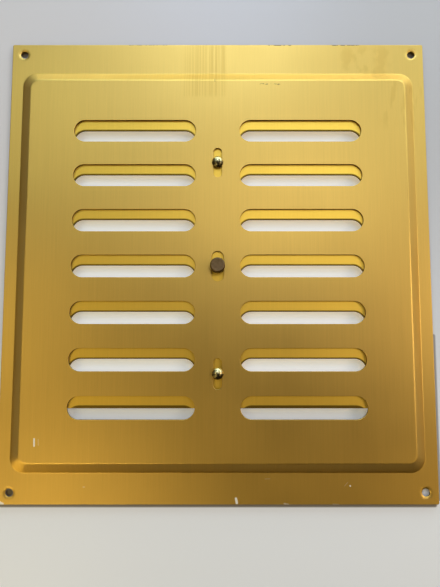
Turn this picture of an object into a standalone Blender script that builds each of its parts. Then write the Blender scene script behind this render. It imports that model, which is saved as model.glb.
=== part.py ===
"""Hit-and-miss wall ventilator: a pressed face plate with a sliding shutter behind it.

Units are metres, +Z up. The ventilator lies on its back with its face up: +X is to the right of the
face and +Y is towards its top edge. The origin is under the middle of the plate, on the plane that
meets the wall. The shutter stands half open. It slides along Y: +Y opens it and -Y closes it.
"""

import math

import bmesh
import bpy

MM = 0.001
GAP = 0.3 * MM  # left between pieces that touch

# Face plate: a flat flange round a raised panel, pressed from one sheet
PLATE_WIDTH = 242 * MM
PLATE_HEIGHT = 263 * MM
PLATE_CORNER = 1.0 * MM
SHEET = 1.0 * MM
PANEL_FOOT = 228.6 * MM  # side of the square that the raised panel's walls stand on
PANEL_Y = -0.6 * MM  # the panel sits a little below the middle of the plate
PANEL_RISE = 4.2 * MM
WALL_RUN = 7.0 * MM  # width of the sloping wall in plan, bends included
BEND_RADIUS = 1.1 * MM  # inside radius of the sheet's bends
WALL_CORNER_LOW = 8.0 * MM  # plan radius of the wall's corners at the flange
WALL_CORNER_HIGH = 4.5 * MM  # and at the panel

# Air slots, in rows and two columns
ROWS = 7
ROW_PITCH = 26.0 * MM
COLUMN_X = 47.3 * MM  # column centre from the middle
SLOT_LENGTH = 69.6 * MM
SLOT_HEIGHT = 12.6 * MM
PATTERN_Y = -0.9 * MM  # middle of the slot pattern, a little below the middle of the plate

# Shutter
SHUTTER_SHEET = 0.8 * MM
SHUTTER_CORNER = 3.0 * MM
SHUTTER_SIDE_LAP = 8.0 * MM  # beyond the slot ends
SHUTTER_TOP_LAP = 3.0 * MM  # above the top slot when the shutter is closed
REST_DROP = 5.9 * MM  # its slots stand this far below the face's when half open
OPEN_OVERRUN = 0.5 * MM  # how far it can rise past slots in line
CLOSED_LAP = 0.1 * MM  # its lands past the face's slot edges when closed
OPEN_TRAVEL = REST_DROP + OPEN_OVERRUN
CLOSE_TRAVEL = SLOT_HEIGHT + CLOSED_LAP - REST_DROP
BOTTOM_EDGE_DROP = 0.9 * MM  # the bottom edge, below where a seventh slot would start

# Knob and guide rivets, their slots in the face and their washers
GUIDE_Y = 59.5 * MM  # guide rivets above and below the knob
SHANK_DIAMETER = 3.2 * MM
GUIDE_SLOT_WIDTH = 4.8 * MM
KNOB_SLOT_WIDTH = 6.9 * MM
KNOB_DIAMETER = 8.2 * MM
KNOB_HEIGHT = 5.0 * MM
KNOB_CHAMFER = 0.4 * MM
RIVET_HEAD_DIAMETER = 6.4 * MM
RIVET_HEAD_HEIGHT = 2.3 * MM
RIVET_HEAD_RIM = 0.4 * MM  # straight edge under the dome
TAIL_DIAMETER = 5.0 * MM
TAIL_END_DIAMETER = 3.5 * MM  # where the peening has rounded it over
TAIL_HEIGHT = 0.7 * MM
WASHER_DIAMETER = 7.0 * MM
WASHER_THICKNESS = 0.5 * MM
SPRING_DIAMETER = 6.4 * MM
SPRING_THICKNESS = 0.35 * MM
SPRING_WAVE = 0.17 * MM  # half the height of its waves
SPRING_WAVES = 3

# Screw holes in the flange's corners, with a shallow countersink
SCREW_INSET_X = 7.0 * MM
SCREW_INSET_Y = 6.3 * MM
SCREW_HOLE_DIAMETER = 4.4 * MM
COUNTERSINK_DIAMETER = 8.0 * MM
COUNTERSINK_DEPTH = 0.4 * MM

# Heights that follow from the stack of sheets and washers
PANEL_BACK = PANEL_RISE
PANEL_FRONT = PANEL_RISE + SHEET
SHUTTER_FRONT = PANEL_BACK - GAP
SHUTTER_BACK = SHUTTER_FRONT - SHUTTER_SHEET
SPRING_MIDDLE = SHUTTER_BACK - GAP - SPRING_WAVE - SPRING_THICKNESS / 2
WASHER_TOP = SPRING_MIDDLE - SPRING_THICKNESS / 2 - SPRING_WAVE - GAP
TAIL_TOP = WASHER_TOP - WASHER_THICKNESS - GAP
HEAD_SEAT = PANEL_FRONT + GAP

# Sizes that follow from the travel
SHANK_HOLE_DIAMETER = SHANK_DIAMETER + 2 * GAP
GUIDE_SLOT_LENGTH = OPEN_TRAVEL + CLOSE_TRAVEL + SHANK_DIAMETER + 2 * GAP
GUIDE_SLOT_SHIFT = (OPEN_TRAVEL - CLOSE_TRAVEL) / 2
SHANK_YS = (PATTERN_Y + GUIDE_Y, PATTERN_Y, PATTERN_Y - GUIDE_Y)

CORNER_STEPS = 6  # facets in a quarter turn of a wall or sheet corner
SLOT_END_STEPS = 10  # facets in the half turn at a slot's end
BEND_STEPS = 4  # facets in each bend of the sheet
ROUND_SIDES = 24  # sides of screw holes
TURNED_SIDES = 24  # sides of turned pieces
DOME_STEPS = 5  # facets from a rivet head's rim to its crown
SHARP_ANGLE = 35  # degrees between faces above which an edge stays crisp
CUT_REACH = 2 * MM  # how far a cutter runs past the sheet


def clear_scene():
    for thing in list(bpy.data.objects):
        bpy.data.objects.remove(thing)


def make_material(name, colour, roughness, metallic):
    material = bpy.data.materials.new(name)
    material.use_nodes = True
    shader = material.node_tree.nodes["Principled BSDF"]
    shader.inputs["Base Color"].default_value = (*colour, 1)
    shader.inputs["Roughness"].default_value = roughness
    shader.inputs["Metallic"].default_value = metallic
    material.diffuse_color = (*colour, 1)
    return material


def make_object(name, shape, material=None):
    """Turns a bmesh into an object with its faces pointing out and its flat faces kept crisp."""
    bmesh.ops.recalc_face_normals(shape, faces=shape.faces)
    mesh = bpy.data.meshes.new(name)
    shape.to_mesh(mesh)
    shape.free()
    mesh.shade_smooth()
    mesh.set_sharp_from_angle(angle=math.radians(SHARP_ANGLE))
    made = bpy.data.objects.new(name, mesh)
    bpy.context.scene.collection.objects.link(made)
    if material:
        mesh.materials.append(material)
    return made


def place_copy(name, original, y):
    """A repeated piece: its own object on the same mesh, moved along the face."""
    made = bpy.data.objects.new(name, original.data)
    bpy.context.scene.collection.objects.link(made)
    made.location = (original.location.x, y, original.location.z)
    return made


def rounded_rectangle(half_x, half_y, radius):
    """Outline points, anticlockwise, with CORNER_STEPS facets round each corner."""
    points = []
    for quarter, (side_x, side_y) in enumerate(((1, 1), (-1, 1), (-1, -1), (1, -1))):
        for step in range(CORNER_STEPS + 1):
            angle = math.radians(90 * (quarter + step / CORNER_STEPS))
            x = side_x * (half_x - radius) + radius * math.cos(angle)
            y = side_y * (half_y - radius) + radius * math.sin(angle)
            points.append((x, y))
    return points


def round_ended_slot(centre_x, centre_y, length, width, upright=False):
    """Outline points of a slot with half-round ends, anticlockwise."""
    reach = (length - width) / 2
    points = []
    for side in (1, -1):
        for step in range(SLOT_END_STEPS + 1):
            angle = math.radians(180 * step / SLOT_END_STEPS - 90) + (0 if side > 0 else math.pi)
            along = side * reach + width / 2 * math.cos(angle)
            across = width / 2 * math.sin(angle)
            offset = (-across, along) if upright else (along, across)
            points.append((centre_x + offset[0], centre_y + offset[1]))
    return points


def add_ring(shape, points, z):
    return [shape.verts.new((x, y, z)) for x, y in points]


def join_rings(shape, first, second):
    count = len(first)
    for i in range(count):
        j = (i + 1) % count
        shape.faces.new((first[i], first[j], second[j], second[i]))


def add_prism(shape, points, low, high):
    """A closed block of the outline between two heights."""
    bottom = add_ring(shape, points, low)
    top = add_ring(shape, points, high)
    join_rings(shape, bottom, top)
    shape.faces.new(bottom)
    shape.faces.new(top)


def circle(radius, sides):
    turns = (2 * math.pi * i / sides for i in range(sides))
    return [(radius * math.cos(turn), radius * math.sin(turn)) for turn in turns]


def add_turned(shape, profile, sides, centre=(0, 0)):
    """A solid of revolution about Z from (radius, z) points that run from its top to its bottom."""
    rings = []
    for radius, z in profile:
        points = [(centre[0] + x, centre[1] + y) for x, y in circle(radius, sides)]
        rings.append(add_ring(shape, points, z))
    for upper, lower in zip(rings, rings[1:]):
        join_rings(shape, upper, lower)
    shape.faces.new(rings[0])
    shape.faces.new(rings[-1])


def cut(target, cutter):
    """Cuts one object out of another and leaves the cutter as a hidden guide."""
    cutter.hide_render = True
    cutter.display_type = "WIRE"
    boolean = target.modifiers.new("cut", "BOOLEAN")
    boolean.operation = "DIFFERENCE"
    boolean.solver = "EXACT"
    boolean.object = cutter


def pressed_wall(offset):
    """(run, height) points up the sloping wall, on a surface offset from the sheet's middle.

    The wall leaves the flange in one bend and meets the panel in another, both of the same radius
    at the sheet's middle, and is straight between them.
    """
    middle_radius = BEND_RADIUS + SHEET / 2
    drop = PANEL_RISE - 2 * middle_radius
    between_centres = math.hypot(WALL_RUN, drop)
    slope = math.atan2(drop, WALL_RUN) + math.asin(2 * middle_radius / between_centres)
    low_radius = middle_radius - offset
    high_radius = middle_radius + offset
    points = []
    for step in range(BEND_STEPS + 1):
        turn = slope * step / BEND_STEPS
        height = middle_radius - low_radius * math.cos(turn)
        points.append((low_radius * math.sin(turn), height))
    for step in range(BEND_STEPS + 1):
        turn = slope * (1 - step / BEND_STEPS)
        height = PANEL_RISE - middle_radius + high_radius * math.cos(turn)
        points.append((WALL_RUN - high_radius * math.sin(turn), height))
    return points


def add_wall_rings(shape, offset):
    """Rings from the foot of the wall to the edge of the panel, on one side of the sheet."""
    rings = []
    for run, height in pressed_wall(offset):
        half = PANEL_FOOT / 2 - run
        radius = WALL_CORNER_LOW + (WALL_CORNER_HIGH - WALL_CORNER_LOW) * run / WALL_RUN
        outline = [(x, y + PANEL_Y) for x, y in rounded_rectangle(half, half, radius)]
        rings.append(add_ring(shape, outline, SHEET / 2 + height))
    return rings


def air_slot_places(rows):
    """Centres of the air slots of the top rows, counted from the top row down."""
    for row in range(rows):
        y = PATTERN_Y + ROW_PITCH * ((ROWS - 1) / 2 - row)
        for x in (-COLUMN_X, COLUMN_X):
            yield x, y


def screw_places():
    for x in (-1, 1):
        for y in (-1, 1):
            yield x * (PLATE_WIDTH / 2 - SCREW_INSET_X), y * (PLATE_HEIGHT / 2 - SCREW_INSET_Y)


def make_face_cutter():
    """Air slots, guide slots and countersunk screw holes."""
    shape = bmesh.new()
    low = PANEL_BACK - CUT_REACH
    high = PANEL_FRONT + CUT_REACH
    for x, y in air_slot_places(ROWS):
        add_prism(shape, round_ended_slot(x, y, SLOT_LENGTH, SLOT_HEIGHT), low, high)
    for y in SHANK_YS:
        width = KNOB_SLOT_WIDTH if y == PATTERN_Y else GUIDE_SLOT_WIDTH
        outline = round_ended_slot(0, y + GUIDE_SLOT_SHIFT, GUIDE_SLOT_LENGTH, width, upright=True)
        add_prism(shape, outline, low, high)
    hole = SCREW_HOLE_DIAMETER / 2
    rim = COUNTERSINK_DIAMETER / 2
    profile = (
        (rim, SHEET + CUT_REACH),
        (rim, SHEET),
        (hole, SHEET - COUNTERSINK_DEPTH),
        (hole, -CUT_REACH),
    )
    for place in screw_places():
        add_turned(shape, profile, ROUND_SIDES, place)
    return make_object("face_cutter", shape)


def make_face_plate(material):
    shape = bmesh.new()
    edge = rounded_rectangle(PLATE_WIDTH / 2, PLATE_HEIGHT / 2, PLATE_CORNER)
    back = add_wall_rings(shape, -SHEET / 2)
    back_edge = add_ring(shape, edge, 0)
    front_edge = add_ring(shape, edge, SHEET)
    front = add_wall_rings(shape, SHEET / 2)
    rings = [*reversed(back), back_edge, front_edge, *front]
    for first, second in zip(rings, rings[1:]):
        join_rings(shape, first, second)
    shape.faces.new(rings[0])
    shape.faces.new(rings[-1])
    plate = make_object("face_plate", shape, material)
    cut(plate, make_face_cutter())
    return plate


def make_shutter_cutter():
    """Slots for all rows but the last, which the bottom edge serves, and the shank holes."""
    shape = bmesh.new()
    low = SHUTTER_BACK - CUT_REACH
    high = SHUTTER_FRONT + CUT_REACH
    for x, y in air_slot_places(ROWS - 1):
        outline = round_ended_slot(x, y - REST_DROP, SLOT_LENGTH, SLOT_HEIGHT)
        add_prism(shape, outline, low, high)
    for y in SHANK_YS:
        profile = ((SHANK_HOLE_DIAMETER / 2, high), (SHANK_HOLE_DIAMETER / 2, low))
        add_turned(shape, profile, TURNED_SIDES, (0, y))
    return make_object("shutter_cutter", shape)


def make_shutter_plate(material):
    outermost_y = ROW_PITCH * (ROWS - 1) / 2
    top_slot_edge = PATTERN_Y + outermost_y + SLOT_HEIGHT / 2 - REST_DROP
    top = top_slot_edge + SLOT_HEIGHT + SHUTTER_TOP_LAP
    bottom = PATTERN_Y - outermost_y + SLOT_HEIGHT / 2 - REST_DROP - BOTTOM_EDGE_DROP
    half_x = COLUMN_X + SLOT_LENGTH / 2 + SHUTTER_SIDE_LAP
    outline = rounded_rectangle(half_x, (top - bottom) / 2, SHUTTER_CORNER)
    middle = (top + bottom) / 2
    shape = bmesh.new()
    add_prism(shape, [(x, y + middle) for x, y in outline], SHUTTER_BACK, SHUTTER_FRONT)
    plate = make_object("shutter_plate", shape, material)
    cut(plate, make_shutter_cutter())
    return plate


def shank_profile():
    """From under the head, through face, shutter and washers, to the peened tail."""
    shank = SHANK_DIAMETER / 2
    tail = TAIL_DIAMETER / 2
    return [
        (shank, HEAD_SEAT),
        (shank, TAIL_TOP),
        (tail, TAIL_TOP),
        (tail, TAIL_TOP - TAIL_HEIGHT / 2),
        (TAIL_END_DIAMETER / 2, TAIL_TOP - TAIL_HEIGHT),
    ]


def make_knob(material):
    radius = KNOB_DIAMETER / 2
    top = HEAD_SEAT + KNOB_HEIGHT
    head = [
        (radius - KNOB_CHAMFER, top),
        (radius, top - KNOB_CHAMFER),
        (radius, HEAD_SEAT + KNOB_CHAMFER),
        (radius - KNOB_CHAMFER, HEAD_SEAT),
    ]
    shape = bmesh.new()
    add_turned(shape, head + shank_profile(), TURNED_SIDES)
    return make_object("knob", shape, material)


def make_guide_rivet(material):
    """A domed head on the same shank as the knob's."""
    radius = RIVET_HEAD_DIAMETER / 2
    dome = RIVET_HEAD_HEIGHT - RIVET_HEAD_RIM
    ball = (radius * radius + dome * dome) / (2 * dome)
    spread = math.asin(radius / ball)
    head = []
    for step in range(1, DOME_STEPS + 1):
        turn = spread * step / DOME_STEPS
        height = HEAD_SEAT + RIVET_HEAD_HEIGHT - ball * (1 - math.cos(turn))
        head.append((ball * math.sin(turn), height))
    head.append((radius, HEAD_SEAT))
    shape = bmesh.new()
    add_turned(shape, head + shank_profile(), TURNED_SIDES)
    return make_object("upper_guide_rivet", shape, material)


def make_washer(name, material, diameter, thickness, middle, wave=0):
    """A ring of rectangular section; a wave lifts and lowers it SPRING_WAVES times round."""
    inner = SHANK_HOLE_DIAMETER / 2
    outer = diameter / 2
    shape = bmesh.new()
    rings = []
    for radius, side in ((inner, 1), (outer, 1), (outer, -1), (inner, -1)):
        ring = []
        for i, (x, y) in enumerate(circle(radius, TURNED_SIDES)):
            lift = wave * math.cos(SPRING_WAVES * 2 * math.pi * i / TURNED_SIDES)
            ring.append(shape.verts.new((x, y, middle + lift + side * thickness / 2)))
        rings.append(ring)
    for i, ring in enumerate(rings):
        join_rings(shape, ring, rings[(i + 1) % len(rings)])
    return make_object(name, shape, material)


def make_fixings(knob_metal, brass, steel):
    """The knob and two guide rivets, each with a spring washer and a back washer."""
    upper_y, knob_y, lower_y = SHANK_YS
    knob = make_knob(knob_metal)
    knob.location.y = knob_y
    rivet = make_guide_rivet(brass)
    rivet.location.y = upper_y
    spring = make_washer(
        "upper_spring_washer", steel, SPRING_DIAMETER, SPRING_THICKNESS, SPRING_MIDDLE, SPRING_WAVE
    )
    spring.location.y = upper_y
    washer_middle = WASHER_TOP - WASHER_THICKNESS / 2
    washer = make_washer(
        "upper_back_washer", brass, WASHER_DIAMETER, WASHER_THICKNESS, washer_middle
    )
    washer.location.y = upper_y
    fixings = [knob, rivet, spring, washer]
    fixings.append(place_copy("lower_guide_rivet", rivet, lower_y))
    for name, y in (("knob", knob_y), ("lower", lower_y)):
        fixings.append(place_copy(name + "_spring_washer", spring, y))
        fixings.append(place_copy(name + "_back_washer", washer, y))
    return fixings


def build():
    clear_scene()
    gold = make_material("gold_anodised_aluminium", (0.60, 0.42, 0.13), 0.38, 1.0)
    bronze = make_material("dull_bronze", (0.20, 0.14, 0.08), 0.5, 1.0)
    brass = make_material("polished_brass", (0.72, 0.55, 0.25), 0.15, 1.0)
    steel = make_material("spring_steel", (0.45, 0.45, 0.46), 0.35, 1.0)
    make_face_plate(gold)
    moving = [make_shutter_plate(gold), *make_fixings(bronze, brass, steel)]
    slide = bpy.data.objects.new("shutter_slide", None)
    bpy.context.scene.collection.objects.link(slide)
    for piece in moving:
        piece.parent = slide


build()
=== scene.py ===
"""Looks for the hit-and-miss ventilator: fine meshes, metal finishes, floor, light and camera.

Metres, +Z up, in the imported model's frame: the ventilator lies on its back on the floor, +X is to
the right of its face and +Y to its top edge.
"""

import math

import bmesh
import bpy
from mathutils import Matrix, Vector


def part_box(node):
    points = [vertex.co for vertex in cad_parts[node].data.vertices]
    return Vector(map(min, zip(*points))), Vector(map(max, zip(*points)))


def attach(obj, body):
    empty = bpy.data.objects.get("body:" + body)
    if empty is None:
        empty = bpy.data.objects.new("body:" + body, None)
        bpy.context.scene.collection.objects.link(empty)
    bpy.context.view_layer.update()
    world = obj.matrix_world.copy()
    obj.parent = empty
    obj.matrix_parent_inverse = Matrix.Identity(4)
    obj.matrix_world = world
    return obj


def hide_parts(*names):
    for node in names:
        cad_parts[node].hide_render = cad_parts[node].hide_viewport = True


MM = 0.001

# Face plate, as the CAD model has it
PLATE_CORNER = 1.0 * MM
SHEET = 1.0 * MM
PANEL_FOOT = 228.6 * MM
PANEL_Y = -0.6 * MM
WALL_RUN = 7.0 * MM
BEND_RADIUS = 1.1 * MM
WALL_CORNER_LOW = 8.0 * MM
WALL_CORNER_HIGH = 4.5 * MM
ROWS = 7
ROW_PITCH = 26.0 * MM
COLUMN_X = 47.3 * MM
SLOT_LENGTH = 69.6 * MM
SLOT_HEIGHT = 12.6 * MM
PATTERN_Y = -0.9 * MM
REST_DROP = 5.9 * MM
SHUTTER_CORNER = 3.0 * MM
GUIDE_SLOT_LENGTH = 17.0 * MM
GUIDE_SLOT_WIDTH = 4.8 * MM
KNOB_SLOT_WIDTH = 6.9 * MM
GUIDE_SLOT_SHIFT = -0.2 * MM
SCREW_INSET_X = 7.0 * MM
SCREW_INSET_Y = 6.3 * MM
SCREW_HOLE_RADIUS = 2.2 * MM
DIMPLE_RADIUS = 4.0 * MM
DIMPLE_DEPTH = 0.4 * MM

# Turned pieces, as the CAD model has them
SHANK_RADIUS = 1.6 * MM
SHANK_HOLE_RADIUS = 1.9 * MM
HEAD_GAP = 0.3 * MM  # under the knob and the rivet heads
RIVET_RIM = 0.4 * MM
TAIL_RADIUS = 2.5 * MM
TAIL_HEIGHT = 0.7 * MM
SPRING_THICKNESS = 0.35 * MM
SPRING_WAVES = 3

# Fineness and edge radii of the meshes here
CORNER_STEPS = 14
SLOT_END_STEPS = 24
BEND_STEPS = 10
ROLL_STEPS = 4
HOLE_SIDES = 48
DIMPLE_STEPS = 8
TURNED_SIDES = 72
FRONT_ROLL = 0.18 * MM  # radius of a punched edge on the face side
BACK_ROLL = 0.06 * MM  # and on the side the punch leaves
SHEARED_ROLL = 0.45 * MM  # round the outside of the plate, where it was sheared
SHUTTER_ROLL = 0.45 * MM  # at the shutter's slots, which are punched more roughly
KNOB_FILLET = 0.75 * MM
TAIL_FILLET = 0.5 * MM
WASHER_ROLL = 0.08 * MM
SPRING_ROLL = 0.06 * MM

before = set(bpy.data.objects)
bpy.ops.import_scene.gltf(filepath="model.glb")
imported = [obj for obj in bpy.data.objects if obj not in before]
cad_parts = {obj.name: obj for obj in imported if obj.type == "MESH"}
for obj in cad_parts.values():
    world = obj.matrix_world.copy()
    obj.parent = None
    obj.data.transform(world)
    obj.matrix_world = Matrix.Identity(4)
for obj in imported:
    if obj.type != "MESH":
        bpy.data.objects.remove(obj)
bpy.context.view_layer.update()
plate_low, plate_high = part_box("face_plate")
shutter_low, shutter_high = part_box("shutter_plate")
SHANK_YS = {
    name: (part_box(name)[0].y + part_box(name)[1].y) / 2
    for name in ("upper_guide_rivet", "knob", "lower_guide_rivet")
}


# ---------------------------------------------------------------- outlines


def rounded_rectangle(half_x, half_y, radius, centre=(0, 0)):
    """Outline points, anticlockwise from the right side."""
    points = []
    for quarter, (side_x, side_y) in enumerate(((1, 1), (-1, 1), (-1, -1), (1, -1))):
        for step in range(CORNER_STEPS + 1):
            angle = math.radians(90 * (quarter + step / CORNER_STEPS))
            x = side_x * (half_x - radius) + radius * math.cos(angle)
            y = side_y * (half_y - radius) + radius * math.sin(angle)
            points.append((centre[0] + x, centre[1] + y))
    return points


def round_ended_slot(centre, length, width, upright=False):
    """Outline points of a slot with half-round ends, anticlockwise."""
    reach = (length - width) / 2
    points = []
    for side in (1, -1):
        start = -math.pi / 2 if side > 0 else math.pi / 2
        for step in range(SLOT_END_STEPS + 1):
            angle = start + math.pi * step / SLOT_END_STEPS
            along = side * reach + width / 2 * math.cos(angle)
            across = width / 2 * math.sin(angle)
            offset = (-across, along) if upright else (along, across)
            points.append((centre[0] + offset[0], centre[1] + offset[1]))
    return points


def circle(radius, sides, centre=(0, 0)):
    turns = [2 * math.pi * i / sides for i in range(sides)]
    return [(centre[0] + radius * math.cos(t), centre[1] + radius * math.sin(t)) for t in turns]


# Each cut outline is a function of d, the distance from the cut into the sheet's own metal.


def slot_cut(centre, length, width, upright=False):
    return lambda d: round_ended_slot(centre, length + 2 * d, width + 2 * d, upright)


def hole_cut(centre, radius):
    return lambda d: circle(radius + d, HOLE_SIDES, centre)


def outer_cut(half_x, half_y, radius, centre=(0, 0)):
    return lambda d: rounded_rectangle(half_x - d, half_y - d, radius - d, centre)


# ---------------------------------------------------------------- mesh building


def add_ring(shape, points, z):
    return [shape.verts.new((x, y, z)) for x, y in points]


def join_rings(shape, first, second):
    count = len(first)
    for i in range(count):
        j = (i + 1) % count
        shape.faces.new((first[i], first[j], second[j], second[i]))


def join_all(shape, rings):
    for first, second in zip(rings, rings[1:]):
        join_rings(shape, first, second)


def fill_flat(shape, rings):
    """Fills the flat between one outer ring and the rings of the holes in it."""
    edges = []
    for ring in rings:
        for i, vert in enumerate(ring):
            after = ring[(i + 1) % len(ring)]
            edges.append(shape.edges.get((vert, after)) or shape.edges.new((vert, after)))
    bmesh.ops.triangle_fill(shape, use_beauty=True, use_dissolve=False, edges=edges)


def punched_profile(front, back, front_roll):
    """(distance into the metal, z) down a punched edge with both its corners rolled."""
    profile = []
    for step in range(ROLL_STEPS + 1):
        turn = math.pi / 2 * step / ROLL_STEPS
        inwards = front_roll * (1 - math.sin(turn))
        profile.append((inwards, front - front_roll * (1 - math.cos(turn))))
    for step in range(ROLL_STEPS + 1):
        turn = math.pi / 2 * step / ROLL_STEPS
        inwards = BACK_ROLL * (1 - math.cos(turn))
        profile.append((inwards, back + BACK_ROLL * (1 - math.sin(turn))))
    return profile


def add_punched_edge(shape, outline, front, back, front_roll=FRONT_ROLL):
    """Rings down a punched edge. Returns the one on the front flat and the one on the back flat."""
    rings = [add_ring(shape, outline(d), z) for d, z in punched_profile(front, back, front_roll)]
    join_all(shape, rings)
    return rings[0], rings[-1]


def add_sheet(shape, outline, holes, front, back, front_roll):
    """A flat sheet with punched holes."""
    edges = [add_punched_edge(shape, cut, front, back, front_roll) for cut in (outline, *holes)]
    fill_flat(shape, [edge[0] for edge in edges])
    fill_flat(shape, [edge[1] for edge in edges])


def add_turned(shape, profile, sides, closed_loop=False):
    """A solid of revolution about Z from (radius, z) points, capped unless the profile is a loop."""
    rings = [add_ring(shape, circle(radius, sides), z) for radius, z in profile]
    join_all(shape, rings)
    if closed_loop:
        join_rings(shape, rings[-1], rings[0])
        return
    for ring in (rings[0], rings[-1]):
        shape.faces.new(ring)


def arc(centre, radius, start, end, steps):
    """(radius, z) points along an arc in a turned profile, angles in degrees from +radius."""
    points = []
    for step in range(steps + 1):
        angle = math.radians(start + (end - start) * step / steps)
        points.append((centre[0] + radius * math.cos(angle), centre[1] + radius * math.sin(angle)))
    return points


def finish_piece(name, shape, body, replaced, location=(0, 0, 0)):
    """Turns a bmesh into a smooth-shaded piece that rides on a body and stands for a CAD node."""
    bmesh.ops.recalc_face_normals(shape, faces=shape.faces)
    plan = shape.loops.layers.uv.new("plan")
    for face in shape.faces:
        for loop in face.loops:
            loop[plan].uv = (loop.vert.co.x, loop.vert.co.y)
    mesh = bpy.data.meshes.new(name)
    shape.to_mesh(mesh)
    shape.free()
    mesh.shade_smooth()
    piece = bpy.data.objects.new(name, mesh)
    bpy.context.scene.collection.objects.link(piece)
    weighted = piece.modifiers.new("flat_stays_flat", "WEIGHTED_NORMAL")
    weighted.weight = 100
    weighted.keep_sharp = True
    piece.location = location
    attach(piece, body)
    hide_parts(replaced)
    return piece


# ---------------------------------------------------------------- sheet pieces


def pressed_wall(offset):
    """(run, height) up the sloping wall, on a surface offset from the sheet's middle."""
    rise = plate_high.z - SHEET
    middle_radius = BEND_RADIUS + SHEET / 2
    drop = rise - 2 * middle_radius
    between_centres = math.hypot(WALL_RUN, drop)
    slope = math.atan2(drop, WALL_RUN) + math.asin(2 * middle_radius / between_centres)
    low_radius = middle_radius - offset
    high_radius = middle_radius + offset
    points = []
    for step in range(BEND_STEPS + 1):
        turn = slope * step / BEND_STEPS
        points.append((low_radius * math.sin(turn), middle_radius - low_radius * math.cos(turn)))
    for step in range(BEND_STEPS + 1):
        turn = slope * (1 - step / BEND_STEPS)
        height = rise - middle_radius + high_radius * math.cos(turn)
        points.append((WALL_RUN - high_radius * math.sin(turn), height))
    return points


def add_pressed_wall(shape, offset):
    """Rings from the foot of the wall to the edge of the panel, on one side of the sheet."""
    rings = []
    for run, height in pressed_wall(offset):
        half = PANEL_FOOT / 2 - run
        radius = WALL_CORNER_LOW + (WALL_CORNER_HIGH - WALL_CORNER_LOW) * run / WALL_RUN
        outline = rounded_rectangle(half, half, radius, (0, PANEL_Y))
        rings.append(add_ring(shape, outline, SHEET / 2 + height))
    join_all(shape, rings)
    return rings[0], rings[-1]


def add_dimpled_hole(shape, centre):
    """A screw hole whose rim is drawn down smoothly, as the countersink's punch leaves it."""
    profile = []
    for step in range(DIMPLE_STEPS + 1):
        inwards = step / DIMPLE_STEPS
        radius = DIMPLE_RADIUS + (SCREW_HOLE_RADIUS - DIMPLE_RADIUS) * inwards
        profile.append((radius, SHEET - DIMPLE_DEPTH * inwards**2))
    profile += [
        (SCREW_HOLE_RADIUS - 0.04 * MM, SHEET - DIMPLE_DEPTH - 0.06 * MM),
        (SCREW_HOLE_RADIUS - 0.05 * MM, SHEET - DIMPLE_DEPTH - 0.15 * MM),
        (SCREW_HOLE_RADIUS, BACK_ROLL),
        (SCREW_HOLE_RADIUS + BACK_ROLL, 0),
    ]
    rings = [add_ring(shape, circle(radius, HOLE_SIDES, centre), z) for radius, z in profile]
    join_all(shape, rings)
    return rings[0], rings[-1]


def air_slots(rows, drop=0):
    for row in range(rows):
        y = PATTERN_Y + ROW_PITCH * ((ROWS - 1) / 2 - row) - drop
        for x in (-COLUMN_X, COLUMN_X):
            yield slot_cut((x, y), SLOT_LENGTH, SLOT_HEIGHT)


def guide_slots():
    for name, y in SHANK_YS.items():
        width = KNOB_SLOT_WIDTH if name == "knob" else GUIDE_SLOT_WIDTH
        yield slot_cut((0, y + GUIDE_SLOT_SHIFT), GUIDE_SLOT_LENGTH, width, upright=True)


def make_face_sheet():
    half_x = plate_high.x
    half_y = plate_high.y
    shape = bmesh.new()
    edge = add_punched_edge(shape, outer_cut(half_x, half_y, PLATE_CORNER), SHEET, 0, SHEARED_ROLL)
    screws = [
        add_dimpled_hole(shape, (x * (half_x - SCREW_INSET_X), y * (half_y - SCREW_INSET_Y)))
        for x in (-1, 1)
        for y in (-1, 1)
    ]
    front = plate_high.z
    slots = [
        add_punched_edge(shape, cut, front, front - SHEET)
        for cut in (*air_slots(ROWS), *guide_slots())
    ]
    for side, offset in ((0, SHEET / 2), (1, -SHEET / 2)):
        foot, top = add_pressed_wall(shape, offset)
        fill_flat(shape, [edge[side], foot, *(screw[side] for screw in screws)])
        fill_flat(shape, [top, *(slot[side] for slot in slots)])
    return finish_piece("face_sheet", shape, "face", "face_plate")


def make_shutter_sheet():
    half_x = shutter_high.x
    half_y = (shutter_high.y - shutter_low.y) / 2
    middle = (shutter_high.y + shutter_low.y) / 2
    outline = outer_cut(half_x, half_y, SHUTTER_CORNER, (0, middle))
    holes = [*air_slots(ROWS - 1, REST_DROP)]
    holes += [hole_cut((0, y), SHANK_HOLE_RADIUS) for y in SHANK_YS.values()]
    shape = bmesh.new()
    add_sheet(shape, outline, holes, shutter_high.z, shutter_low.z, SHUTTER_ROLL)
    return finish_piece("shutter_sheet", shape, "shutter", "shutter_plate")


# ---------------------------------------------------------------- turned pieces


def shank_profile(seat, bottom):
    """From under the head to the peened tail, which is domed over its washer."""
    top = bottom + TAIL_HEIGHT
    dome_centre = (TAIL_RADIUS - TAIL_FILLET, bottom + TAIL_FILLET)
    dome = arc(dome_centre, TAIL_FILLET, 0, -60, 5)
    return [
        (SHANK_RADIUS, seat),
        (SHANK_RADIUS, top),
        (TAIL_RADIUS - 0.1 * MM, top),
        (TAIL_RADIUS, top - 0.1 * MM),
        *dome,
        (TAIL_RADIUS * 0.5, bottom),
        (TAIL_RADIUS * 0.1, bottom + 0.05 * MM),
    ]


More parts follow.
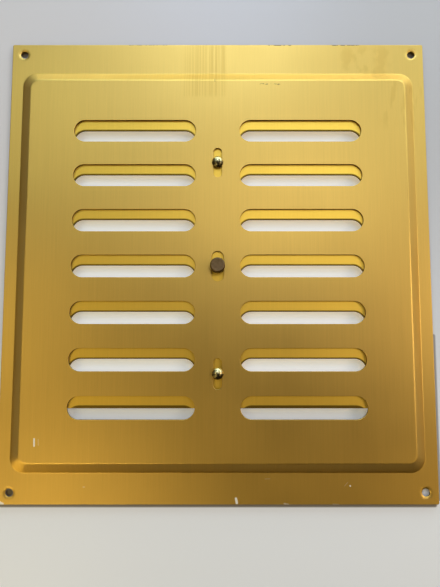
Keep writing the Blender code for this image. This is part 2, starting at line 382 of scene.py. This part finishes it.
def make_knob():
    low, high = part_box("knob")
    radius = high.x
    seat = plate_high.z + HEAD_GAP
    corner = (radius - KNOB_FILLET, high.z - KNOB_FILLET)
    profile = [(radius * 0.02, high.z - 0.06 * MM), (radius * 0.55, high.z - 0.05 * MM)]
    profile += [(radius * 0.8, high.z - 0.01 * MM)]
    profile += arc(corner, KNOB_FILLET, 90, 0, 8)
    profile += [(radius, seat + 0.25 * MM), (radius - 0.08 * MM, seat + 0.08 * MM)]
    profile += [(radius - 0.25 * MM, seat)]
    shape = bmesh.new()
    add_turned(shape, profile + shank_profile(seat, low.z), TURNED_SIDES)
    place = (0, SHANK_YS["knob"], 0)
    return finish_piece("turned_knob", shape, "shutter", "knob", place)


def make_rivet(node):
    low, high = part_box(node)
    radius = high.x
    seat = plate_high.z + HEAD_GAP
    dome = high.z - seat - RIVET_RIM
    ball = (radius * radius + dome * dome) / (2 * dome)
    spread = math.degrees(math.asin(radius / ball))
    profile = arc((0, high.z - ball), ball, 89.5, 90 - spread, 16)
    profile += [(radius, seat + 0.12 * MM), (radius - 0.12 * MM, seat)]
    shape = bmesh.new()
    add_turned(shape, profile + shank_profile(seat, low.z), TURNED_SIDES)
    place = (0, SHANK_YS[node], 0)
    name = node.replace("guide_rivet", "brass_rivet")
    return finish_piece(name, shape, "shutter", node, place)


def add_washer(shape, outer, low, high, roll):
    """A flat ring round a shank, with all its edges rolled."""
    inner = SHANK_HOLE_RADIUS
    profile = [
        (inner, high - roll),
        (inner + roll, high),
        (outer - roll, high),
        (outer, high - roll),
        (outer, low + roll),
        (outer - roll, low),
        (inner + roll, low),
        (inner, low + roll),
    ]
    add_turned(shape, profile, TURNED_SIDES, closed_loop=True)


def make_flat_washer(node, y):
    low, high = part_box(node)
    outer = (high.x - low.x) / 2
    shape = bmesh.new()
    add_washer(shape, outer, low.z, high.z, WASHER_ROLL)
    name = node.replace("back_washer", "plain_washer")
    return finish_piece(name, shape, "shutter", node, (0, y, 0))


def make_wave_washer(node, y):
    """A thin ring that rises and falls SPRING_WAVES times on its way round."""
    low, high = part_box(node)
    outer = (high.x - low.x) / 2
    middle = (high.z + low.z) / 2
    half = SPRING_THICKNESS / 2
    wave = (high.z - low.z) / 2 - half
    shape = bmesh.new()
    add_washer(shape, outer, middle - half, middle + half, SPRING_ROLL)
    for vert in shape.verts:
        vert.co.z += wave * math.cos(SPRING_WAVES * math.atan2(vert.co.y, vert.co.x))
    name = node.replace("spring_washer", "wave_washer")
    return finish_piece(name, shape, "shutter", node, (0, y, 0))


# ---------------------------------------------------------------- materials


class Finish:
    """A node material: a Principled shader and short calls that add and link its nodes."""

    def __init__(self, name):
        self.material = bpy.data.materials.new(name)
        self.material.use_nodes = True
        self.tree = self.material.node_tree
        self.shader = self.tree.nodes["Principled BSDF"]
        coordinates = self.add("ShaderNodeTexCoord").outputs
        self.place = coordinates["Object"]
        self.facing = coordinates["Normal"]

    def add(self, kind, settings=None, inputs=None):
        node = self.tree.nodes.new(kind)
        for key, value in (settings or {}).items():
            setattr(node, key, value)
        for key, value in (inputs or {}).items():
            self.put(node.inputs[key], value)
        return node

    def put(self, socket, value):
        """Links the socket that a value comes from, or sets a plain value."""
        if isinstance(value, bpy.types.NodeSocket):
            self.tree.links.new(value, socket)
        else:
            socket.default_value = value

    def math(self, operation, first, second=0.0, third=0.0, clamp=False):
        settings = {"operation": operation, "use_clamp": clamp}
        node = self.add("ShaderNodeMath", settings, {0: first, 1: second, 2: third})
        return node.outputs[0]

    def axes(self):
        """The X, Y and Z of the point on the object."""
        return self.add("ShaderNodeSeparateXYZ", None, {0: self.place}).outputs

    def near_line(self, start, end, width, strength=1.0):
        """Its strength on a line between two (x, y) points in millimetres, 0 from its width away."""
        flat = self.vector("MULTIPLY", self.place, (1, 1, 0))
        begin = Vector((*start, 0)) * MM
        reach = Vector((*end, 0)) * MM - begin
        offset = self.vector("SUBTRACT", flat, begin)
        along = self.math("DIVIDE", self.dot(offset, reach), reach.length_squared, clamp=True)
        nearest = self.add("ShaderNodeVectorMath", {"operation": "SCALE"}, {0: reach, 3: along})
        distance = self.add(
            "ShaderNodeVectorMath", {"operation": "DISTANCE"}, {0: offset, 1: nearest.outputs[0]}
        )
        return self.spread(distance.outputs[1], width * MM, width * MM * 0.45, 0.0, strength)

    def patch(self, low, high, fade):
        """1 inside a box between two (x, y) points in millimetres, fading to 0 outside it."""
        inside = 1.0
        for axis, near, far in zip(self.axes(), low, high):
            rise = self.spread(axis, (near - fade) * MM, near * MM)
            fall = self.spread(axis, (far + fade) * MM, far * MM)
            inside = self.math("MULTIPLY", self.math("MULTIPLY", rise, fall), inside)
        return inside

    def vector(self, operation, first, second, third=(0, 0, 0)):
        inputs = {0: first, 1: second, 2: third}
        return self.add("ShaderNodeVectorMath", {"operation": operation}, inputs).outputs[0]

    def dot(self, first, second):
        settings = {"operation": "DOT_PRODUCT"}
        return self.add("ShaderNodeVectorMath", settings, {0: first, 1: second}).outputs[1]

    def noise(self, scale, detail=2.0):
        """Noise with its own scale along each axis, in cycles per metre."""
        stretched = self.add("ShaderNodeMapping", None, {"Vector": self.place, "Scale": scale})
        inputs = {"Vector": stretched.outputs[0], "Scale": 1.0, "Detail": detail, "Roughness": 0.5}
        return self.add("ShaderNodeTexNoise", None, inputs).outputs[0]

    def spread(self, value, low, high, to_low=0.0, to_high=1.0):
        """Maps a value from one range to another, clamped, with a smooth step."""
        inputs = {0: value, 1: low, 2: high, 3: to_low, 4: to_high}
        settings = {"interpolation_type": "SMOOTHSTEP"}
        return self.add("ShaderNodeMapRange", settings, inputs).outputs[0]

    def mix(self, share, first, second):
        node = self.add("ShaderNodeMix", {"data_type": "RGBA"})
        self.put(node.inputs["Factor"], share)
        self.put(node.inputs[6], first)
        self.put(node.inputs[7], second)
        return node.outputs[2]

    def bump(self, height, distance, strength):
        inputs = {"Height": height, "Distance": distance, "Strength": strength}
        return self.add("ShaderNodeBump", None, inputs).outputs[0]


def rgb(red, green, blue):
    return (red, green, blue, 1.0)


def shade_of(colour, share):
    return rgb(*(min(1.0, channel * share) for channel in colour))


# Wear on the face, in millimetres from the middle of the plate. Marks: start, end, width and
# strength. Patches: two opposite corners.
BARE_MARKS = (
    ((-99.4, -95.4), (-99.3, -99.2), 0.55, 1.0),
    ((10.0, -128.2), (10.5, -130.6), 0.85, 1.0),
    ((72.4, -121.4), (72.5, -121.6), 0.5, 1.0),
    ((69.4, -121.6), (71.2, -119.6), 0.2, 0.35),
    ((26.0, -117.8), (28.6, -117.7), 0.35, 0.2),
    ((-73.4, -122.1), (-72.8, -122.1), 0.5, 0.3),
    ((36.4, -130.9), (38.6, -131.4), 0.6, 0.5),
    ((-119.8, -129.9), (-117.2, -131.2), 1.1, 0.9),
    ((63.0, -131.3), (66.0, -131.5), 0.5, 0.4),
    ((-97.2, -95.6), (-97.0, -98.8), 0.3, 0.25),
)
DARK_MARKS = (
    ((24.2, 105.1), (36.0, 104.7), 0.5, 0.9),
    ((67.0, 131.2), (84.0, 131.3), 0.6, 1.0),
    ((30.0, 131.3), (43.0, 131.2), 0.6, 1.0),
    ((-52.0, 131.3), (-30.0, 131.4), 0.5, 0.8),
    ((-1.8, 109.2), (-1.6, 106.4), 0.35, 0.6),
)
BRUSHED_PATCH = ((-19, 99), (3, 131))  # coarse brush lines
SCUFFED_PATCH = ((99, 84), (118, 104))
DULL_PATCH = ((76, 112), (98, 126))
WORN_SHARE = (0.72, 0.66, 0.55)  # of the colour's red, green and blue where it is worn
DIRT_COLOUR = (0.16, 0.10, 0.03)
BARE_METAL = (0.93, 0.89, 0.78)

# Painted shadow: a dark line painted along the upper edge of each shutter slot
SLOT_SHADOW_WIDTH = 1.1 * MM  # of the dark line round the upper half of a shutter slot
BRUSH_HEIGHT = 0.003 * MM
PIT_HEIGHT = 0.004 * MM


def any_of(finish, masks):
    most = masks[0]
    for mask in masks[1:]:
        most = finish.math("MAXIMUM", most, mask)
    return most


def painted_slot_shadow(finish):
    """Painted shadow: its strength at the upper edge and round the upper ends of the shutter's
    slots.
    """
    x, y = finish.axes()[:2]
    along = finish.math("SUBTRACT", finish.math("ABSOLUTE", x), COLUMN_X)
    straight = (SLOT_LENGTH - SLOT_HEIGHT) / 2
    past_straight = finish.math("SUBTRACT", finish.math("ABSOLUTE", along), straight)
    past_straight = finish.math("MAXIMUM", past_straight, 0.0)
    from_rows = finish.math("SUBTRACT", y, PATTERN_Y - REST_DROP)
    across = finish.math("WRAP", from_rows, ROW_PITCH / 2, -ROW_PITCH / 2)
    squares = finish.math("MULTIPLY", across, across)
    squares = finish.math("MULTIPLY_ADD", past_straight, past_straight, squares)
    distance = finish.math("SUBTRACT", finish.math("SQRT", squares), SLOT_HEIGHT / 2)
    upper = finish.spread(across, -2 * MM, 1 * MM)
    shadow_line = finish.spread(distance, SLOT_SHADOW_WIDTH, SLOT_SHADOW_WIDTH * 0.45, 0.0, 0.9)
    return finish.math("MULTIPLY", upper, shadow_line)


def anodised_metal(name, colour, roughness, edge_shade_turn, painted_light_right=0.0, worn=False, slot_shadows=False):
    """Gold-anodised sheet, brushed along Y before it was dyed, perhaps with painted light paler to
    its right.

    Its cut edges are painted dark, as painted shade. The painted shade sets in as the Z of the
    surface's normal falls from the first of its two edge turn values to the second. With worn it
    carries the wear of the face, and it can carry a painted shadow along the upper edges of the
    shutter's slots.
    """
    finish = Finish(name)
    fine = finish.noise((5200, 40, 40))
    broad = finish.noise((900, 7, 7), detail=3.0)
    cloud = finish.noise((22, 22, 22), detail=3.0)
    light = shade_of(colour, 1.03)
    dark = shade_of(colour, 0.95)
    tone = finish.math("MULTIPLY_ADD", broad, 0.3, finish.math("MULTIPLY", fine, 0.7))
    tint = finish.mix(finish.spread(tone, 0.3, 0.7), dark, light)
    blotch = finish.spread(cloud, 0.35, 0.7)
    tint = finish.mix(finish.math("MULTIPLY", blotch, 0.2), tint, dark)
    # Painted light: the sheet is painted darker to its left and paler to its right
    if painted_light_right:
        side = finish.spread(finish.axes()[0], -90 * MM, 90 * MM, -painted_light_right, painted_light_right)
        tint = finish.vector("MULTIPLY_ADD", tint, side, tint)
    upright = finish.add("ShaderNodeSeparateXYZ", None, {0: finish.facing}).outputs[2]
    front = finish.spread(upright, 0.0, 0.2)
    rough = finish.math("MULTIPLY_ADD", fine, 0.06, roughness - 0.03)
    rough = finish.math("MULTIPLY_ADD", blotch, 0.03, rough)
    height = fine
    metallic = 1.0
    if worn:
        lines = finish.spread(finish.noise((1250, 6, 6), detail=1.0), 0.46, 0.60)
        brushed = finish.math("MULTIPLY", finish.patch(*BRUSHED_PATCH, 3), lines)
        scuffs = finish.spread(finish.noise((330, 60, 60)), 0.48, 0.62)
        scuffed = finish.math("MULTIPLY", finish.patch(*SCUFFED_PATCH, 8), scuffs)
        smears = finish.spread(finish.noise((150, 110, 110), detail=3.0), 0.42, 0.6)
        dulled = finish.math("MULTIPLY", finish.patch(*DULL_PATCH, 8), smears)
        wear = finish.math("MULTIPLY", any_of(finish, (brushed, scuffed, dulled)), front)
        deep = rgb(*(channel * share for channel, share in zip(colour, WORN_SHARE)))
        tint = finish.mix(finish.math("MULTIPLY", wear, 0.33), tint, deep)
        rough = finish.math("MULTIPLY_ADD", wear, 0.07, rough)
        dirt = any_of(finish, [finish.near_line(*mark) for mark in DARK_MARKS])
        dirt = finish.math("MULTIPLY", dirt, front)
        breaks = finish.spread(finish.noise((700, 700, 700)), 0.42, 0.56)
        tint = finish.mix(finish.math("MULTIPLY", dirt, breaks), tint, rgb(*DIRT_COLOUR))
        bare = any_of(finish, [finish.near_line(*mark) for mark in BARE_MARKS])
        bare = finish.math("MULTIPLY", bare, front)
        tint = finish.mix(bare, tint, rgb(*BARE_METAL))
        metallic = finish.math("MULTIPLY_ADD", bare, -0.75, 1.0)
        height = finish.math("MULTIPLY_ADD", bare, -6.0, height)
    # Painted shade: the cut edges are painted dark
    painted_edge_shade = finish.spread(finish.math("ABSOLUTE", upright), *edge_shade_turn)
    tint = finish.mix(painted_edge_shade, tint, shade_of(colour, 0.12))
    # Painted shadow along the upper edges of the shutter's slots
    if slot_shadows:
        tint = finish.mix(painted_slot_shadow(finish), tint, shade_of(colour, 0.15))
    finish.put(finish.shader.inputs["Base Color"], tint)
    finish.put(finish.shader.inputs["Metallic"], metallic)
    finish.put(finish.shader.inputs["Roughness"], rough)
    finish.put(finish.shader.inputs["Anisotropic"], 0.5)
    tangent = finish.add("ShaderNodeTangent", {"direction_type": "UV_MAP", "uv_map": "plan"})
    finish.put(finish.shader.inputs["Tangent"], tangent.outputs[0])
    finish.put(finish.shader.inputs["Normal"], finish.bump(height, BRUSH_HEIGHT, 0.5))
    return finish


def plain_metal(name, colour, roughness, scale, painted_shade_sides=False, painted_shade_below=False):
    """Turned or stamped metal with faint smudges and pits.

    It can be painted dark as painted shade off its flat top, or on the part of a dome that faces -Y.
    """
    finish = Finish(name)
    cloud = finish.noise((scale, scale, scale), detail=4.0)
    pits = finish.noise((scale * 6, scale * 6, scale * 6))
    dark = shade_of(colour, 0.7)
    smudge = finish.spread(cloud, 0.4, 0.7)
    tint = finish.mix(finish.math("MULTIPLY", smudge, 0.6), rgb(*colour), dark)
    facing = finish.add("ShaderNodeSeparateXYZ", None, {0: finish.facing}).outputs
    if painted_shade_sides:
        # Painted shade: the sides off the flat top are painted dark
        sides = finish.spread(facing[2], 0.97, 0.60)
        tint = finish.mix(sides, tint, shade_of(colour, 0.3))
    if painted_shade_below:
        # Painted shade: the part of a dome that faces -Y is painted dark
        below = finish.spread(facing[1], 0.20, -0.15)
        tint = finish.mix(below, tint, shade_of(colour, 0.2))
    finish.put(finish.shader.inputs["Base Color"], tint)
    finish.put(finish.shader.inputs["Metallic"], 1.0)
    rough = finish.math("MULTIPLY_ADD", smudge, 0.12, roughness)
    finish.put(finish.shader.inputs["Roughness"], rough)
    finish.put(finish.shader.inputs["Normal"], finish.bump(pits, PIT_HEIGHT, 0.4))
    return finish


# ---------------------------------------------------------------- stage


FLOOR_DROP = 0.7 * MM  # the plate doesn't lie quite flat on the floor
FLOOR_REACH = 2.0  # metres each way

# On the floor, in millimetres from the middle of the plate
# The painted light under the slots fills this field
SLOT_FIELD = ((-88, -70), (88, 90))  # where the floor is seen through the slots
SLOT_FIELD_FADE = 30
HOLE_SHADES = ((-1, 1, 1.0), (1, 1, 1.0), (-1, -1, 1.0), (1, -1, 0.25))  # side, end, strength
HOLE_SHADE_OUT = (0.4, 0.7)  # from the middle of a screw hole to that of its shade
HOLE_SHADE_UP = 0.3
HOLE_SHADE_LENGTH = 0.2
HOLE_SHADE_WIDTH = 3.0
EDGE_SHADE_OUT = 0.7  # from the plate's edge to the middle of its shadow
BOTTOM_SHADE = (-119.0, 119.0, 1.7, 0.8)  # start and end along the edge, width and strength
RIGHT_SHADE = (-129.0, -40.0, 1.5, 0.6)

# Painted light: the floor is painted paler towards the near side and darker to the far right
FAR_LEFT_FLOOR = (0.69, 0.64, 0.62)
FAR_RIGHT_FLOOR = (0.53, 0.51, 0.50)
NEAR_FLOOR = (0.89, 0.89, 0.90)
LEFT_TO_RIGHT = (-0.15, 0.15)  # metres along X
FAR_TO_NEAR = (0.10, -0.16)  # metres along Y
# Painted light: under the slots the floor is painted paler and made to glow
PAINTED_LIGHT_UNDER_SLOTS = (0.95, 0.95, 0.95)
SHADED_FLOOR = (0.085, 0.052, 0.015)
FLOOR_GLOW = (0.84, 0.98, 1.0)
GLOW_STRENGTH = 0.25


def floor_shade(finish):
    """Where the plate shades the floor: in its screw holes and along two of its edges."""
    half = HOLE_SHADE_LENGTH / 2
    shades = []
    for side, end, strength in HOLE_SHADES:
        x = side * ((plate_high.x - SCREW_INSET_X) / MM + HOLE_SHADE_OUT[0])
        y = end * ((plate_high.y - SCREW_INSET_Y) / MM + HOLE_SHADE_OUT[1]) + HOLE_SHADE_UP
        shades.append(finish.near_line((x - half, y), (x + half, y), HOLE_SHADE_WIDTH, strength))
    start, stop, width, strength = BOTTOM_SHADE
    bottom = plate_low.y / MM - EDGE_SHADE_OUT
    shades.append(finish.near_line((start, bottom), (stop, bottom), width, strength))
    start, stop, width, strength = RIGHT_SHADE
    right = plate_high.x / MM + EDGE_SHADE_OUT
    shades.append(finish.near_line((right, start), (right, stop), width, strength))
    return any_of(finish, shades)


def make_floor():
    """A plain pale floor with painted light under the slots and painted shade where the plate shades
    it.
    """
    shape = bmesh.new()
    bmesh.ops.create_grid(shape, x_segments=1, y_segments=1, size=FLOOR_REACH)
    mesh = bpy.data.meshes.new("floor")
    shape.to_mesh(mesh)
    shape.free()
    floor = bpy.data.objects.new("floor", mesh)
    floor.location.z = -FLOOR_DROP
    bpy.context.scene.collection.objects.link(floor)
    finish = Finish("pale_floor")
    painted_light_mask = finish.patch(*SLOT_FIELD, SLOT_FIELD_FADE)
    # Painted light: paler towards the near side, darker to the far right
    near_side = finish.spread(finish.axes()[1], *FAR_TO_NEAR)
    right_side = finish.spread(finish.axes()[0], *LEFT_TO_RIGHT)
    tint = finish.mix(right_side, rgb(*FAR_LEFT_FLOOR), rgb(*FAR_RIGHT_FLOOR))
    tint = finish.mix(near_side, tint, rgb(*NEAR_FLOOR))
    tint = finish.mix(painted_light_mask, tint, rgb(*PAINTED_LIGHT_UNDER_SLOTS))
    tint = finish.mix(floor_shade(finish), tint, rgb(*SHADED_FLOOR))
    finish.put(finish.shader.inputs["Base Color"], tint)
    finish.put(finish.shader.inputs["Roughness"], 0.4)
    # Painted light: the floor glows under the slots
    finish.put(finish.shader.inputs["Emission Color"], rgb(*FLOOR_GLOW))
    glow = finish.math("MULTIPLY", painted_light_mask, GLOW_STRENGTH)
    finish.put(finish.shader.inputs["Emission Strength"], glow)
    mesh.materials.append(finish.material)


LIGHTS = (
    # name, degrees from straight up, degrees round from +X, width, height, colour, watts
    ("overhead", 20, 60, 0.36, 0.36, (0.92, 0.95, 1.0), 1.15),
    ("window", 45, 88, 0.40, 0.40, (0.53, 0.67, 1.0), 2.9),
    ("window_left", 40, 135, 0.36, 0.36, (0.83, 1.0, 1.0), 0.65),
    ("left", 38, 180, 0.36, 0.36, (1.0, 0.88, 0.52), 0.74),
    ("left_low", 36, 222, 0.36, 0.36, (1.0, 0.84, 0.48), 0.70),
    ("near", 50, 238, 0.30, 0.10, (1.0, 0.84, 0.50), 1.0),
    ("right", 54, 0, 0.36, 0.36, (1.0, 0.86, 0.74), 2.1),
    ("right_high", 58, 36, 0.36, 0.36, (0.72, 0.88, 1.0), 1.3),
    ("right_low", 54, 326, 0.36, 0.36, (1.0, 0.77, 0.40), 0.60),
    ("horizon", 75, 97, 0.7, 0.25, (0.62, 0.87, 1.0), 3.2),
    ("left_horizon", 76, 229, 0.6, 0.25, (1.0, 0.80, 0.28), 1.2),
    ("right_horizon", 76, 62, 0.6, 0.25, (0.80, 0.94, 1.0), 2.6),
    ("right_edge", 76, 28, 0.6, 0.25, (0.86, 0.94, 1.0), 0.8),
)
LIGHT_DISTANCE = 1.0
WORLD_COLOUR = (0.02, 0.018, 0.015)

LENS = 27.9  # on a sensor 36 mm wide
CAMERA_PLACE = (1.33 * MM, -36.65 * MM, 257.2 * MM)
CAMERA_TILT = 4.6  # degrees towards the top edge


def make_light(name, tilt, turn, width, height, colour, watts):
    """A soft box that faces the ventilator."""
    data = bpy.data.lights.new(name, "AREA")
    data.shape = "RECTANGLE"
    data.size = width
    data.size_y = height
    data.color = colour
    data.energy = watts
    light = bpy.data.objects.new(name, data)
    bpy.context.scene.collection.objects.link(light)
    tilt = math.radians(tilt)
    turn = math.radians(turn)
    outwards = math.sin(tilt)
    towards = Vector((outwards * math.cos(turn), outwards * math.sin(turn), math.cos(tilt)))
    light.location = LIGHT_DISTANCE * towards
    light.rotation_euler = (-towards).to_track_quat("-Z", "Y").to_euler()


def make_lights():
    for row in LIGHTS:
        make_light(*row)
    world = bpy.data.worlds.new("studio")
    world.use_nodes = True
    world.node_tree.nodes["Background"].inputs["Color"].default_value = rgb(*WORLD_COLOUR)
    bpy.context.scene.world = world


def make_camera():
    """A close wide view, almost straight down, from a little below the middle of the face."""
    data = bpy.data.cameras.new("camera")
    data.sensor_width = 36
    data.lens = LENS
    data.clip_start = 0.01
    camera = bpy.data.objects.new("camera", data)
    bpy.context.scene.collection.objects.link(camera)
    camera.location = CAMERA_PLACE
    camera.rotation_euler = (math.radians(CAMERA_TILT), 0, 0)
    bpy.context.scene.camera = camera


def build():
    gold = anodised_metal("gold_face", (0.72, 0.46, 0.105), 0.40, (0.55, 0.30), worn=True)
    deep_gold = anodised_metal(
        "gold_shutter", (0.94, 0.595, 0.082), 0.43, (0.93, 0.55), painted_light_right=0.10, slot_shadows=True
    )
    bronze = plain_metal("dull_bronze", (0.19, 0.12, 0.056), 0.45, 900, painted_shade_sides=True)
    brass = plain_metal("polished_brass", (0.66, 0.55, 0.26), 0.25, 600, painted_shade_below=True)
    pale_brass = plain_metal("washer_brass", (0.66, 0.50, 0.24), 0.30, 500)
    steel = plain_metal("spring_steel", (0.50, 0.50, 0.52), 0.28, 500)
    make_face_sheet().data.materials.append(gold.material)
    make_shutter_sheet().data.materials.append(deep_gold.material)
    make_knob().data.materials.append(bronze.material)
    for node in ("upper_guide_rivet", "lower_guide_rivet"):
        make_rivet(node).data.materials.append(brass.material)
    for shank, y in SHANK_YS.items():
        stack = shank.split("_")[0]
        make_flat_washer(stack + "_back_washer", y).data.materials.append(pale_brass.material)
        make_wave_washer(stack + "_spring_washer", y).data.materials.append(steel.material)
    make_floor()
    make_lights()
    make_camera()
    bpy.context.scene.view_settings.view_transform = "Standard"


build()
